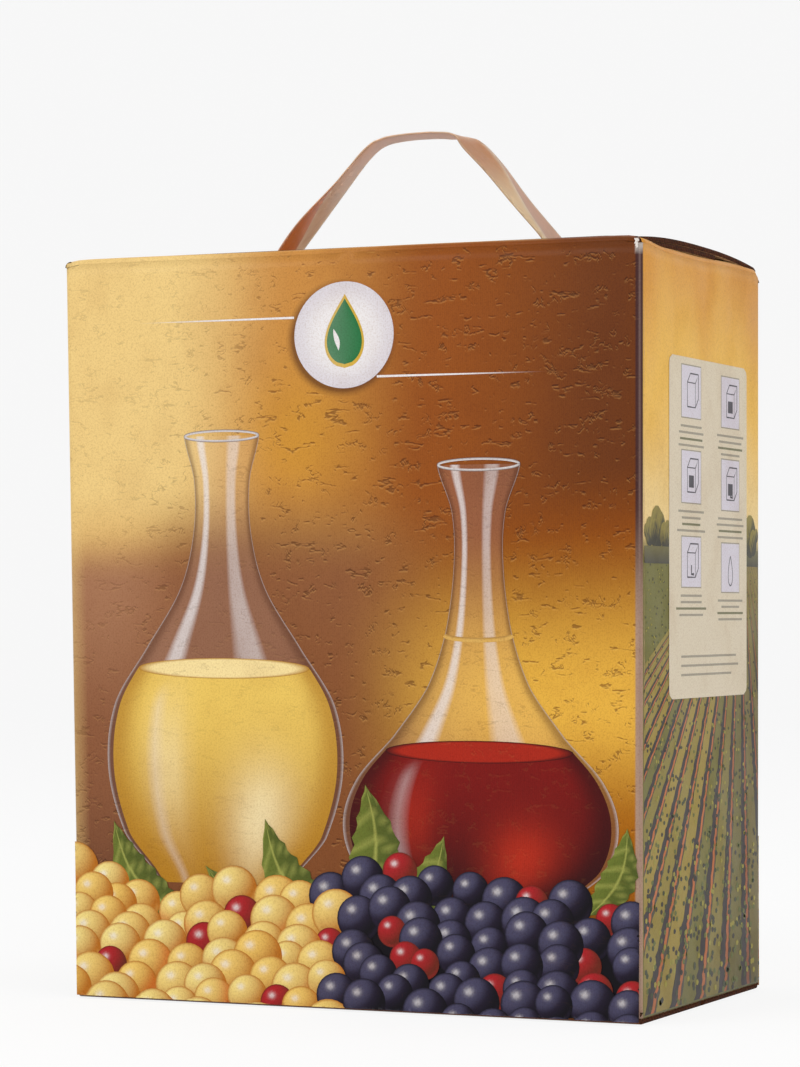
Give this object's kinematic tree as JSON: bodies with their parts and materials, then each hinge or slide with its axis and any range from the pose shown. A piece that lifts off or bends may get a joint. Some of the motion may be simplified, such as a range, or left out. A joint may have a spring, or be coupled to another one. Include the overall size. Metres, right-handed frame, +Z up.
{
  "type": "bag in box carton",
  "caption": "Upright glued board carton with a film strap handle arched over its top, holding a filled bag with a spout and a press tap behind a tear-out panel.",
  "frame": {"origin": "on the surface the carton stands on, under the middle of the whole object", "axes": "+Z up, +X to the right along the wide front, the front faces -Y"},
  "size_m": [0.2078, 0.121, 0.2946],
  "materials": {
    "printed_board": "gold to brown print under a gloss varnish on microflute board",
    "strap_film": "tan film, creased lengthwise",
    "bag_film": "silvery barrier film",
    "pale_plastic": "moulded, satin",
    "grey_plastic": "moulded, satin",
    "red_plastic": "moulded, slightly glossy"
  },
  "bodies": {
    "root": {"carton": "printed_board", "handle_strap": "strap_film", "wine_bag": "bag_film", "spout": "pale_plastic", "tap_body": "grey_plastic", "tap_spindle": "pale_plastic", "tap_lever": "red_plastic", "tap_seal": "pale_plastic"}
  },
  "joints": []
}
